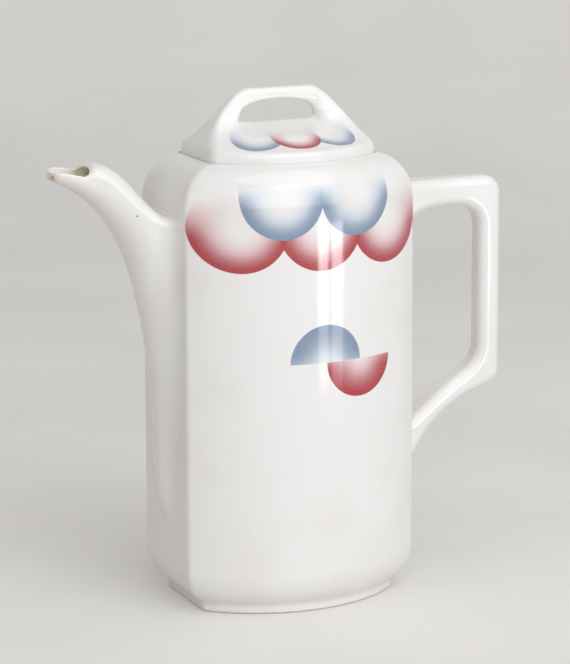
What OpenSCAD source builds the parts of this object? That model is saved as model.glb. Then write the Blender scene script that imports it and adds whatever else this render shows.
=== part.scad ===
// Ceramic coffee pot: a flat-sided barrel body on a foot ring, with a keeled spout on one side
// panel, an angular handle on the other and a tented lid with a slotted grip.
// The body's upright axis is Z, the foot stands on Z = 0, the spout points along -X.

/* [Body] */
// Distance between the two flat side panels
body_length = 107.5; // [90:0.5:130]
// Width of each flat side panel
panel_width = 49.3; // [36:0.1:60]
// How far the curved front and back bow out past the edges of the side panels
front_bow = 22.5; // [12:0.5:30]
// Radius that softens the four upright edges
edge_radius = 3.5; // [1:0.5:6]
// Height at which the straight wall turns into the shoulder
wall_top = 178; // [150:1:220]
// Thickness of the fired wall
wall = 4; // [3:0.25:6]

/* [Shoulder] */
// Rise of the shoulder's curve above the wall
shoulder_rise = 18.5; // [12:0.5:26]
// Share of the body's plan that the shoulder's curve closes towards
shoulder_end = 0.70; // [0.6:0.01:0.8]
// Exponent of the shoulder's curve: 2 is an ellipse, less is flatter
shoulder_power = 1.85; // [1.5:0.05:2.5]
// Share of the body's plan that the opening for the lid takes at the shoulder's edge
opening_share = 0.731; // [0.65:0.001:0.8]

/* [Foot] */
// Height of the foot ring
foot_height = 4.5; // [3:0.5:8]
// Share of the body's plan that the foot ring takes
foot_share = 0.843; // [0.75:0.001:0.95]
// Width of the ring of clay that the pot stands on
foot_width = 6; // [4:0.5:10]
// Share of the body's plan that the lower curve closes towards
lower_end = 0.76; // [0.6:0.01:0.84]
// Fall of the lower curve below the straight wall
lower_fall = 15.5; // [10:0.5:20]

/* [Lid] */
// Share of the body's plan that the lid's rim takes
rim_share = 0.722; // [0.6:0.001:0.76]
// Depth of the recess that the lid sits in
seat_depth = 3; // [2:0.25:5]
// Gap left under the lid so that it lifts freely
lid_gap = 0.3; // [0.2:0.1:1]
// Width of the ledge that carries the lid
ledge_width = 4.5; // [3:0.25:7]
// Thickness of the ledge
ledge_thickness = 4.8; // [3:0.1:7]
// Height of the lid's upright rim above the shoulder
rim_rise = 4.2; // [2:0.1:8]
// Height of the top of the grip above the shoulder
lid_rise = 28.7; // [24:0.1:40]
// Height above the shoulder at which the tented cap ends and the grip starts
cap_rise = 11.7; // [9:0.1:14]
// Length of the level top of the grip
grip_top_length = 29; // [20:0.5:40]
// Radius with which the grip's sloping ends turn into its top
grip_end_radius = 8.6; // [4:0.2:12]
// Thickness of the grip's upright part
grip_thickness = 6.6; // [5:0.2:12]
// Wall of the cap
cap_wall = 4; // [3:0.25:5]
// Depth of the collar that keeps the lid in the opening
collar_depth = 12; // [6:0.5:20]
// Thickness of the collar
collar_wall = 3.5; // [2.5:0.25:5]
// Gap between the collar and the ledge
collar_gap = 0.8; // [0.4:0.1:2]

/* [Grip slot] */
// Length of the finger slot through the grip
slot_length = 37; // [24:0.5:38]
// Height of the finger slot at its middle
slot_height = 9.2; // [6:0.2:10]
// Height of the slot's lower edge above the shoulder
slot_rise = 14.2; // [13:0.1:17]

/* [Spout] */
// Drop from the top of the wall to the level crease where the spout's top leaves the body
crease_drop = 6; // [3:0.5:20]
// Height at which the spout's keel fades out on the side panel
keel_bottom = 42; // [30:1:60]
// How far the spout's tip stands out from the side panel
tip_reach = 52.95; // [42:0.05:65]
// Height of the spout's tip above the top of the wall
tip_rise = 15.6; // [8:0.1:25]
// How far the back of the mouth stands out from the side panel
mouth_back_reach = 34.55; // [28:0.05:38]
// Height of the back of the mouth above the top of the wall
mouth_back_rise = 19.3; // [12:0.1:28]
// Greatest width of the mouth
mouth_width = 15; // [12:0.5:20]
// Width of the spout's root at the crease
root_width = 45.6; // [36:0.2:48]
// Thickness of the spout's wall
spout_wall = 3; // [2.5:0.25:4]
// Width of the opening from the body into the spout
inlet_width = 16; // [10:0.5:20]
// Height of the lower end of that opening
inlet_bottom = 88; // [84:1:100]
// Height of that opening
inlet_height = 72; // [50:1:74]

/* [Handle] */
// How far the outside of the grip stands out from the side panel
handle_reach = 53.55; // [42:0.05:70]
// Thickness of the grip from outside to inside
handle_thickness = 10.6; // [8:0.2:16]
// Width of the grip
handle_width = 12.5; // [9:0.5:18]
// Height of the top of the handle above the top of the wall
arm_rise = 2.3; // [-10:0.1:3]
// Thickness of the upper arm
arm_thickness = 12.9; // [9:0.1:18]
// Radius of the upper outer corner
corner_radius = 8; // [3:0.5:14]
// Radius of the upper inner corner
inner_corner = 7; // [2:0.5:10]
// Drop from the top of the wall to the elbow's outer corner
elbow_drop = 92; // [80:1:105]
// Height at which the lower arm's underside meets the body
lower_root_bottom = 41; // [30:1:55]
// Height of the lower arm where it meets the body
lower_root_height = 26.5; // [18:0.5:36]
// Drop from the top of the wall to the end of the upper arm's lower fillet
upper_root_drop = 30; // [20:1:40]
// Width of the handle where it meets the body
handle_root_width = 19; // [12:0.5:30]

/* [Hidden] */

glaze = [0.95, 0.94, 0.93];
half_length = body_length / 2;
half_panel = panel_width / 2;
body_plan = [half_length, half_panel, front_bow];
mean_radius = (half_length + half_panel + front_bow) / 2;

edge_steps = 4;
bow_steps = 9;
curve_steps = 9;
overcut = 1;

shoulder_top = wall_top + shoulder_rise * rise_at(opening_share);
seat_floor = shoulder_top - seat_depth;
lid_base = seat_floor + lid_gap;
lid_plan = body_plan * rim_share;
seat_plan = body_plan * opening_share;
throat_plan = inset(seat_plan, ledge_width);
rim_top = shoulder_top + rim_rise;
cap_top = shoulder_top + cap_rise;
lid_top = shoulder_top + lid_rise;
slot_bottom = shoulder_top + slot_rise;
crease_height = wall_top - crease_drop;
tip_height = wall_top + tip_rise;
inlet_top = inlet_bottom + inlet_height;
collar_plan = inset(throat_plan, collar_gap);
half_grip = grip_thickness / 2;

// Height reached by the shoulder's curve, as a share of its rise, at a share of the body's plan
function rise_at(share) =
    pow(1 - pow((share - shoulder_end) / (1 - shoulder_end), shoulder_power), 1 / shoulder_power);

// A plan is [half length, half panel width, bow]. These give its bow's radius and centre.
function bow_radius(plan) = (plan[0] * plan[0] + plan[2] * plan[2]) / (2 * plan[2]);
function bow_centre(plan) = plan[1] + plan[2] - bow_radius(plan);

// The plan that lies a set distance inside another one
function inset(plan, distance) =
    let (radius = bow_radius(plan) - distance,
         centre = bow_centre(plan),
         length = plan[0] - distance,
         panel = centre + sqrt(radius * radius - length * length))
    [length, panel, centre + radius - panel];

// One quarter of a plan's outline, from the middle edge of the panel to the middle of the bow
function quarter(plan, radius) =
    let (bow = bow_radius(plan),
         centre = bow_centre(plan),
         edge_x = plan[0] - radius,
         edge_y = centre + sqrt(pow(bow - radius, 2) - edge_x * edge_x),
         turn = atan2(edge_y - centre, edge_x))
    concat(
        [for (i = [0 : edge_steps - 1]) let (t = turn * i / edge_steps)
            [edge_x + radius * cos(t), edge_y + radius * sin(t)]],
        [for (i = [0 : bow_steps]) let (t = turn + (90 - turn) * i / bow_steps)
            [bow * cos(t), centre + bow * sin(t)]]);

// The whole outline, counter-clockwise
function outline(plan, radius) =
    let (q = quarter(plan, radius), last = len(q) - 1)
    concat(
        q,
        [for (i = [last - 1 : -1 : 0]) [-q[i][0], q[i][1]]],
        [for (i = [0 : last]) [-q[i][0], -q[i][1]]],
        [for (i = [last - 1 : -1 : 0]) [q[i][0], -q[i][1]]]);

function ring(plan, radius, z) = [for (p = outline(plan, radius)) [p[0], p[1], z]];

// A closed solid through rings of equal point counts, lowest ring first
module loft(rings) {
    n = len(rings[0]);
    top = len(rings) - 1;
    polyhedron(
        points = [for (r = rings) each r],
        faces = concat(
            [[for (i = [0 : n - 1]) i]],
            [[for (i = [n - 1 : -1 : 0]) top * n + i]],
            [for (j = [0 : top - 1], i = [0 : n - 1]) let (k = (i + 1) % n)
                each [[j * n + i, (j + 1) * n + i, (j + 1) * n + k],
                      [j * n + i, (j + 1) * n + k, j * n + k]]]));
}

function lerp(a, b, t) = a + (b - a) * t;
function arc2(p, q, r, t) = lerp(lerp(p, q, t), lerp(q, r, t), t);
function arc3(p, q, r, s, t) = lerp(arc2(p, q, r, t), arc2(q, r, s, t), t);
function unit(v) = v / norm(v);

// The body's profile as [share of the plan, height]: lower curve, then shoulder
lower_stop = acos((foot_share - lower_end) / (1 - lower_end));
shoulder_stop = acos(pow((opening_share - shoulder_end) / (1 - shoulder_end), shoulder_power / 2));
function lower_point(t) = [
    lower_end + (1 - lower_end) * cos(t),
    foot_height + lower_fall * (sin(lower_stop) - sin(t))];
function shoulder_point(t) = [
    shoulder_end + (1 - shoulder_end) * pow(cos(t), 2 / shoulder_power),
    wall_top + shoulder_rise * pow(sin(t), 2 / shoulder_power)];
body_profile = concat(
    [for (i = [curve_steps : -1 : 0]) lower_point(lower_stop * i / curve_steps)],
    [for (i = [0 : curve_steps]) shoulder_point(shoulder_stop * i / curve_steps)]);

// The same profile a wall's thickness further in, cut off level under the lid's ledge
function profile_normal(i) =
    let (last = len(body_profile) - 1,
         a = body_profile[max(i - 1, 0)],
         b = body_profile[min(i + 1, last)],
         d = [(b[0] - a[0]) * mean_radius, b[1] - a[1]])
    [d[1], -d[0]] / norm(d);
ceiling = seat_floor - ledge_thickness;
inner_stations = [for (i = [0 : len(body_profile) - 1])
    let (n = profile_normal(i), p = body_profile[i])
    [inset(body_plan * p[0], wall * n[0]), p[1] - wall * n[1]]];
inner_kept = [for (s = inner_stations) if (s[1] < ceiling) s];

module pot_body() {
    color(glaze)
    difference() {
        loft([for (p = body_profile) ring(body_plan * p[0], edge_radius, p[1])]);
        loft(concat(
            [for (s = inner_kept) ring(s[0], edge_radius / 2, s[1])],
            [ring(inner_kept[len(inner_kept) - 1][0] - [2, 2, 0], edge_radius / 2, ceiling)]));
        translate([0, 0, seat_floor])
            linear_extrude(seat_depth + overcut) polygon(outline(seat_plan, edge_radius * opening_share));
        translate([0, 0, ceiling - overcut])
            linear_extrude(ledge_thickness + 2 * overcut) polygon(outline(throat_plan, edge_radius / 2));
        inlet();
    }
}

// The tall round-ended opening from the body into the spout
module inlet() {
    radius = inlet_width / 2;
    depth = wall + 2 * overcut;
    for (z = [inlet_bottom + radius, inlet_top - radius])
        translate([-half_length - overcut, 0, z]) rotate([0, 90, 0]) cylinder(h = depth, r = radius, $fn = 48);
    translate([-half_length - overcut, -radius, inlet_bottom + radius])
        cube([depth, inlet_width, inlet_top - inlet_bottom - inlet_width]);
}

module foot_ring() {
    foot_plan = body_plan * foot_share;
    color(glaze)
    linear_extrude(foot_height)
        difference() {
            polygon(outline(foot_plan, edge_radius * foot_share));
            polygon(outline(inset(foot_plan, foot_width), edge_radius / 2));
        }
}

// Spout. The keel is its lower line in the plane Y = 0, the ridge its upper line, both as [x, z].
keel_root = [-half_length, keel_bottom];
keel_low = [-half_length - 8.2, keel_bottom + 2];
keel_rise = [-half_length - 2.3, keel_bottom + 30.4];
keel_knee = [-half_length - 7.8, keel_bottom + 68];
keel_bend = [-half_length - 14.1, crease_height - 19.1];
keel_sweep = [-half_length - 22.2, crease_height + 7.2];
tip_under = [-half_length - tip_reach + 0.6, tip_height - 1.6];
knee_share = 0.4;
function keel_at(t) = t < knee_share
    ? arc3(keel_root, keel_low, keel_rise, keel_knee, t / knee_share)
    : arc3(keel_knee, keel_bend, keel_sweep, tip_under, (t - knee_share) / (1 - knee_share));

crease = [-half_length, crease_height];
ridge_low = [-half_length - 9.2, crease_height + 3];
mouth_back = [-half_length - mouth_back_reach, wall_top + mouth_back_rise];
ridge_high = [mouth_back[0] + 16.1, mouth_back[1] + 2.1];
function ridge_at(t) = arc3(crease, ridge_low, ridge_high, mouth_back, t);

// The keel reaches the crease's height at this share of its length
crease_share = 0.795;
root_spread = 0.62;
function root_half(z) =
    root_width / 2 * pow(max(0, z - keel_bottom) / (crease_height - keel_bottom), root_spread);
// Half width of the root at a depth in front of the panel, where the keel stands out by `reach`
function flank_half(z, depth, reach) =
    root_half(z) * (reach < 0.01 ? 1 : acos(max(-1, min(1, 2 * depth / reach - 1))) / 180);

// How far the keel stands out from the panel at a height, found by halving its length
function keel_reach(z, low = 0, high = crease_share, tries = 14) =
    let (middle = (low + high) / 2, k = keel_at(middle))
    tries == 0 ? -half_length - k[0]
        : k[1] < z ? keel_reach(z, middle, high, tries - 1) : keel_reach(z, low, middle, tries - 1);

// A section runs from a keel point to a ridge point. Its points go up one side and down the other.
section_steps = 20;
section_shares = [for (i = [0 : section_steps - 1]) (1 - cos(180 * i / (section_steps - 0.5))) / 2];
function section(keel, ridge, halves) = concat(
    [for (i = [0 : section_steps - 1]) let (p = lerp(keel, ridge, section_shares[i]))
        [p[0], -halves[i], p[1]]],
    [for (i = [section_steps - 1 : -1 : 1]) let (p = lerp(keel, ridge, section_shares[i]))
        [p[0], halves[i], p[1]]]);

// At the root a section is wide and flat at the crease; at the mouth it is an egg, narrow at the tip
function egg(v) = 1.9 * pow(v, 0.62) * sqrt(1 - v) * (1 - 0.22 * v);
function bell(v) = acos(1 - 2 * v) / 180;
function root_section(k) = let (keel = keel_at(k))
    section(keel, crease, [for (v = section_shares) let (p = lerp(keel, crease, v))
        flank_half(p[1], -half_length - p[0], keel_reach(p[1]))]);
function free_half(t) = lerp(root_width, mouth_width, pow(t, 0.5)) / 2;
function free_section(t, thin) =
    let (keel = keel_at(lerp(crease_share, 1, t)), ridge = ridge_at(t), way = unit(ridge - keel) * thin)
    section(keel + way, ridge - way,
        [for (v = section_shares) (free_half(t) - thin) * lerp(bell(v), egg(v), pow(t, 0.5))]);

// The bore starts as an upright oval on the side panel and follows the keel to the mouth
inlet_low = [-half_length, inlet_bottom];
inlet_high = [-half_length, inlet_top];
bore_keel_start = 0.36;
bore_meet = 0.34;
bore_blend = 0.35;
function oval(v) = 2 * sqrt(max(0, v * (1 - v)));
function bore_section(t) =
    let (meet_keel = lerp(crease_share, 1, bore_meet),
         ridge = ridge_at(bore_meet),
         meet_way = unit(ridge - keel_at(meet_keel)) * spout_wall,
         high = arc2(inlet_high, inlet_high + [-5, 4], ridge - meet_way, t),
         keel = keel_at(lerp(bore_keel_start, meet_keel, t)),
         low = lerp(inlet_low, keel + unit(high - keel) * spout_wall, min(1, t / bore_blend)),
         narrow = free_half(bore_meet) - spout_wall)
    section(low, high, [for (v = section_shares)
        lerp(inlet_width / 2 * oval(v), narrow * lerp(bell(v), egg(v), pow(bore_meet, 0.5)), t)]);

// Tube with a hollow: rings up the outside, then back down the inside, closed by flat rims
module tube(outside, inside) {
    n = len(outside[0]);
    rings = concat(outside, [for (i = [len(inside) - 1 : -1 : 0]) inside[i]]);
    count = len(rings);
    polyhedron(
        points = [for (r = rings) each r],
        faces = [for (j = [0 : count - 1], i = [0 : n - 1])
            let (k = (i + 1) % n, up = (j + 1) % count)
            each [[j * n + i, up * n + i, up * n + k], [j * n + i, up * n + k, j * n + k]]]);
}

root_steps = 12;
free_steps = 12;
module spout() {
    color(glaze)
    tube(
        concat(
            [for (i = [0 : root_steps]) root_section(crease_share * pow(i / root_steps, 1.3))],
            [for (i = [1 : free_steps]) free_section(i / free_steps, 0)]),
        concat(
            [for (i = [0 : 10]) bore_section(i / 10)],
            [for (i = [1 : 8]) free_section(lerp(bore_meet, 1, i / 8), spout_wall)]));
}

// Handle. Its outer and inner edges in the plane Y = 0 are lists of [x, z] in step with each other.
grip_outside = half_length + handle_reach;
grip_inside = grip_outside - handle_thickness;
handle_top = wall_top + arm_rise;
arm_under = handle_top - arm_thickness;
elbow_height = wall_top - elbow_drop;
lower_root_top = lower_root_bottom + lower_root_height;
upper_root_bottom = wall_top - upper_root_drop;
edge_count = 8;
outer_edge = concat(
    [for (i = [0 : edge_count - 1]) lerp([half_length, handle_top + 0.5],
        [grip_outside - corner_radius, handle_top], i / edge_count)],
    [for (i = [0 : edge_count - 1]) let (t = 90 - 90 * i / edge_count)
        [grip_outside - corner_radius * (1 - cos(t)), handle_top - corner_radius * (1 - sin(t))]],
    [for (i = [0 : 2]) lerp([grip_outside, handle_top - corner_radius],
        [grip_outside, elbow_height + 6], i / 3)],
    [for (i = [0 : edge_count - 1]) arc2([grip_outside, elbow_height + 6],
        [grip_outside, elbow_height + 0.5], [grip_outside - 5, elbow_height - 1.8], i / edge_count)],
    [for (i = [0 : edge_count]) arc2([grip_outside - 5, elbow_height - 1.8],
        [grip_outside - 25.8, elbow_height - 5.6], [half_length, lower_root_bottom], i / edge_count)]);
inner_edge = concat(
    [for (i = [0 : edge_count - 1]) arc2([half_length, upper_root_bottom],
        [half_length + 4, arm_under], [grip_inside - inner_corner, arm_under], i / edge_count)],
    [for (i = [0 : edge_count - 1]) let (t = 90 - 90 * i / edge_count)
        [grip_inside - inner_corner * (1 - cos(t)), arm_under - inner_corner * (1 - sin(t))]],
    [for (i = [0 : 2]) lerp([grip_inside, arm_under - inner_corner],
        [grip_inside, elbow_height + 17], i / 3)],
    [for (i = [0 : edge_count - 1]) arc2([grip_inside, elbow_height + 17],
        [grip_inside, elbow_height + 10.8], [grip_inside - 4.7, elbow_height + 7.2], i / edge_count)],
    [for (i = [0 : edge_count]) arc2([grip_inside - 4.7, elbow_height + 7.2],
        [grip_inside - 19.4, elbow_height - 0.5], [half_length, lower_root_top], i / edge_count)]);

// Width of the handle: even along the grip, wider towards the body
function handle_half(x) =
    let (near = max(0, 1 - (x - half_length) / 40))
    lerp(handle_width, handle_root_width, pow(near, 2)) / 2;

corner_steps = 4;
// A rounded rectangle between an outer and an inner point
function handle_section(outer, inner, half) =
    let (middle = (outer + inner) / 2,
         way = unit(outer - inner),
         reach = norm(outer - inner) / 2,
         radius = min(half, reach) * 0.62)
    [for (quad = [0 : 3], i = [0 : corner_steps])
        let (t = 90 * (quad + i / corner_steps),
             along = (quad == 0 || quad == 3 ? reach - radius : radius - reach) + radius * cos(t),
             across = (quad < 2 ? half - radius : radius - half) + radius * sin(t))
        [middle[0] + way[0] * along, across, middle[1] + way[1] * along]];

module handle() {
    color(glaze)
    loft([for (i = [len(outer_edge) - 1 : -1 : 0])
        handle_section(outer_edge[i], inner_edge[i], handle_half(outer_edge[i][0]))]);
}

// Lid. The end panels lean in from the rim to the level top of the grip.
rim_round = [1.2, 1.8];
slope_foot = [lid_plan[0] - rim_round[0], rim_top + rim_round[1]];
slope_head = [grip_top_length / 2 + grip_end_radius, lid_top - grip_end_radius * 0.6];
function end_reach(z) = z < slope_head[1]
    ? lerp(slope_foot[0], slope_head[0], (z - slope_foot[1]) / (slope_head[1] - slope_foot[1]))
    : grip_top_length / 2
        + grip_end_radius * sqrt(1 - pow((z - slope_head[1]) / (lid_top - slope_head[1]), 2));
// Share of the way up from the rim to the foot of the upright grip
grip_foot = slot_bottom + 3;
function climb(z) = min(1, max(0, (z - rim_top) / (grip_foot - rim_top)));
function panel_half(z) = lerp(lid_plan[1] - 0.3, half_grip, 1 - pow(1 - climb(z), 1.5));
function bow_depth(z) = lerp(lid_plan[1] + lid_plan[2], half_grip + 0.3, 1 - pow(1 - climb(z), 2.6));
function tent_plan(z) = [end_reach(z), panel_half(z), max(0.3, bow_depth(z) - panel_half(z))];
rim_edge = edge_radius * rim_share;
function tent_ring(z) = ring(tent_plan(z), min(rim_edge, panel_half(z) * 0.45), z);

cap_heights = [for (i = [0 : 9]) lerp(slope_foot[1], cap_top, i / 9)];
module lid_cap() {
    color(glaze)
    difference() {
        loft(concat(
            [ring(lid_plan, rim_edge, lid_base), ring(lid_plan, rim_edge, rim_top)],
            [for (z = cap_heights) tent_ring(z)]));
        loft(concat(
            [ring(inset(collar_plan, collar_wall), 1.5, lid_base - overcut)],
            [for (i = [3 : -1 : 0]) let (z = cap_top - i * cap_wall * 0.375)
                ring(inset(tent_plan(z), cap_wall / 2), 1, z - cap_wall)]));
    }
}

module lid_collar() {
    color(glaze)
    translate([0, 0, lid_base - collar_depth])
        linear_extrude(collar_depth)
            difference() {
                polygon(outline(collar_plan, edge_radius / 2));
                polygon(outline(inset(collar_plan, collar_wall), 1.5));
            }
}

grip_heights = concat(
    [for (i = [0 : 9]) lerp(cap_top, slope_head[1], i / 9)],
    [for (i = [1 : 5]) lerp(slope_head[1], lid_top, sin(i * 18))]);
// Rounds the grip's top edge over
function grip_ring(z) =
    let (over = max(0, (z - slope_head[1]) / (lid_top - slope_head[1])),
         plan = tent_plan(min(z, lid_top - 0.05)),
         half = max(1.2, plan[1] * sqrt(1 - 0.92 * over * over)))
    ring([plan[0], half, 0.3], half * 0.45, z);

module lid_grip() {
    color(glaze)
    difference() {
        loft([for (z = grip_heights) z < grip_foot ? tent_ring(z) : grip_ring(z)]);
        finger_slot();
    }
}

// The slot has a level lower edge with round corners and an arched upper one
slot_half = slot_length / 2;
slot_corner = slot_height * 0.3;
arch_power = 2.2;
slot_outline = concat(
    [for (i = [0 : 5]) let (t = 270 + 90 * i / 5)
        [slot_half - slot_corner + slot_corner * cos(t), slot_bottom + slot_corner * (1 + sin(t))]],
    [for (i = [1 : 17]) let (t = 10 * i, side = cos(t) < 0 ? -1 : 1)
        [side * slot_half * pow(abs(cos(t)), 2 / arch_power),
         slot_bottom + slot_corner + (slot_height - slot_corner) * pow(sin(t), 2 / arch_power)]],
    [for (i = [0 : 5]) let (t = 180 + 90 * i / 5)
        [-slot_half + slot_corner + slot_corner * cos(t), slot_bottom + slot_corner * (1 + sin(t))]]);
module finger_slot() {
    translate([0, half_panel, 0]) rotate([90, 0, 0])
        linear_extrude(panel_width) polygon(slot_outline);
}

pot_body();
foot_ring();
spout();
handle();
lid_cap();
lid_collar();
lid_grip();
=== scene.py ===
import math

import bpy
import numpy as np
from mathutils import Matrix, Vector


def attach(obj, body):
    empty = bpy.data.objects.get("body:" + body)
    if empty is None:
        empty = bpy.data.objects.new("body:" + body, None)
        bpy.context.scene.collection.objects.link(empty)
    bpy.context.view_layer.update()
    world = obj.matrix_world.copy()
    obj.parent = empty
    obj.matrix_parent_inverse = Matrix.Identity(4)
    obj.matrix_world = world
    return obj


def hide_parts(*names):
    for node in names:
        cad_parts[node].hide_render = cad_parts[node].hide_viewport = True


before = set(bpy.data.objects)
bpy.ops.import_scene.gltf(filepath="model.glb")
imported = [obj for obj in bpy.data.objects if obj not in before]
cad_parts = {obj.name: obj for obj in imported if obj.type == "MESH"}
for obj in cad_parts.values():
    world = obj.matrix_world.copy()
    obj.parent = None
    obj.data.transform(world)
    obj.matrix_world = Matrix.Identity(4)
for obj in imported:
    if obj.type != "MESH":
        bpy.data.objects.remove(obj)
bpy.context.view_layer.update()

MM = 0.001

# ---------------------------------------------------------------------------
# Sizes of the pot, in millimetres, as its source gives them
# ---------------------------------------------------------------------------
half_length = 53.75
half_panel = 24.65
front_bow = 22.5
edge_radius = 3.5
wall_top = 178.0
shoulder_rise = 18.5
shoulder_end = 0.70
shoulder_power = 1.85
opening_share = 0.731
foot_height = 4.5
foot_width = 6.0
foot_share = 0.843
lower_end = 0.76
lower_fall = 15.5
seat_depth = 3.0
lid_gap = 0.3
rim_share = 0.722
lid_rise = 28.7
slot_rise = 14.2
collar_depth = 12.0
spout_wall = 3.0
handle_half = 6.25
handle_root_half = 9.5
inlet_low, inlet_high, inlet_width = 88.0, 160.0, 16.0

shoulder_top = wall_top + shoulder_rise * (
    1 - ((opening_share - shoulder_end) / (1 - shoulder_end)) ** shoulder_power) ** (1 / shoulder_power)
seat_floor = shoulder_top - seat_depth
lid_base = seat_floor + lid_gap
lid_top = shoulder_top + lid_rise
slot_bottom = shoulder_top + slot_rise

# sizes that only the scene's softer forms need
straight_bottom = 19.04
lid_clay = 4.6
hollow_share = 0.57
hollow_top = 204.5
collar_tuck = 1.2
mouth_tilt = 0.09
bore_bottom = 92.0
handle_corner = 4.4
handle_fillet = 5.0
hidden_seam = 0.02
# a mean half size of the plan, which turns shares of the plan into millimetres
mean_reach = 50.0


# ---------------------------------------------------------------------------
# Node building
# ---------------------------------------------------------------------------
class Tree:
    """Short hand for building a node tree: each call makes its nodes and returns what comes out of them."""

    def __init__(self, tree):
        self.tree = tree

    def plug(self, source, target):
        """Links a socket to a socket, or sets a plain value on it."""
        if isinstance(source, bpy.types.NodeSocket):
            self.tree.links.new(source, target)
        else:
            target.default_value = source

    def math(self, operation, a, b=None, clamp=False):
        """One calculation with one or two values."""
        node = self.tree.nodes.new("ShaderNodeMath")
        node.operation = operation
        node.use_clamp = clamp
        self.plug(a, node.inputs[0])
        if b is not None:
            self.plug(b, node.inputs[1])
        return node.outputs[0]

    def times(self, *values):
        """The product of two or more values."""
        product = values[0]
        for value in values[1:]:
            product = self.math("MULTIPLY", product, value)
        return product

    def blend(self, amount, a, b):
        """Mixes two colours."""
        node = self.tree.nodes.new("ShaderNodeMix")
        node.data_type = "RGBA"
        self.plug(amount, node.inputs[0])
        self.plug(a, node.inputs[6])
        self.plug(b, node.inputs[7])
        return node.outputs[2]

    def ramp(self, value, low, high, out_low=0.0, out_high=1.0, smooth=True):
        """Maps a range of one value to another, held at both ends."""
        node = self.tree.nodes.new("ShaderNodeMapRange")
        node.interpolation_type = "SMOOTHSTEP" if smooth else "LINEAR"
        node.clamp = True
        for socket, number in zip(node.inputs, (value, low, high, out_low, out_high)):
            self.plug(number, socket)
        return node.outputs[0]

    def noise(self, place, scale, detail=2.0, roughness=0.5):
        """Cloudy noise from 0 to 1."""
        node = self.tree.nodes.new("ShaderNodeTexNoise")
        self.plug(place, node.inputs["Vector"])
        node.inputs["Scale"].default_value = scale
        node.inputs["Detail"].default_value = detail
        node.inputs["Roughness"].default_value = roughness
        return node.outputs["Fac"]

    def hypot(self, a, b):
        """The length of two values at right angles."""
        return self.math("SQRT", self.math("ADD", self.times(a, a), self.times(b, b)))

    def parts(self, vector):
        """The X, Y and Z of a vector."""
        node = self.tree.nodes.new("ShaderNodeSeparateXYZ")
        self.plug(vector, node.inputs[0])
        return tuple(node.outputs)

    def seen(self):
        """1 where a surface is seen straight on, in a gloss or through glass, and 0 where it only lights."""
        path = self.tree.nodes.new("ShaderNodeLightPath").outputs
        return self.math("MAXIMUM", path["Is Camera Ray"],
                         self.math("MAXIMUM", path["Is Glossy Ray"], path["Is Transmission Ray"]))


def new_group(name, kind, inputs, outputs):
    """An empty node group with named sockets. Returns its tree, its builder and both end nodes."""
    tree = bpy.data.node_groups.new(name, kind)
    for label, socket, value in inputs:
        item = tree.interface.new_socket(name=label, in_out="INPUT", socket_type=socket)
        if value is not None:
            item.default_value = value
    for label, socket in outputs:
        tree.interface.new_socket(name=label, in_out="OUTPUT", socket_type=socket)
    return tree, Tree(tree), tree.nodes.new("NodeGroupInput"), tree.nodes.new("NodeGroupOutput")


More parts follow.
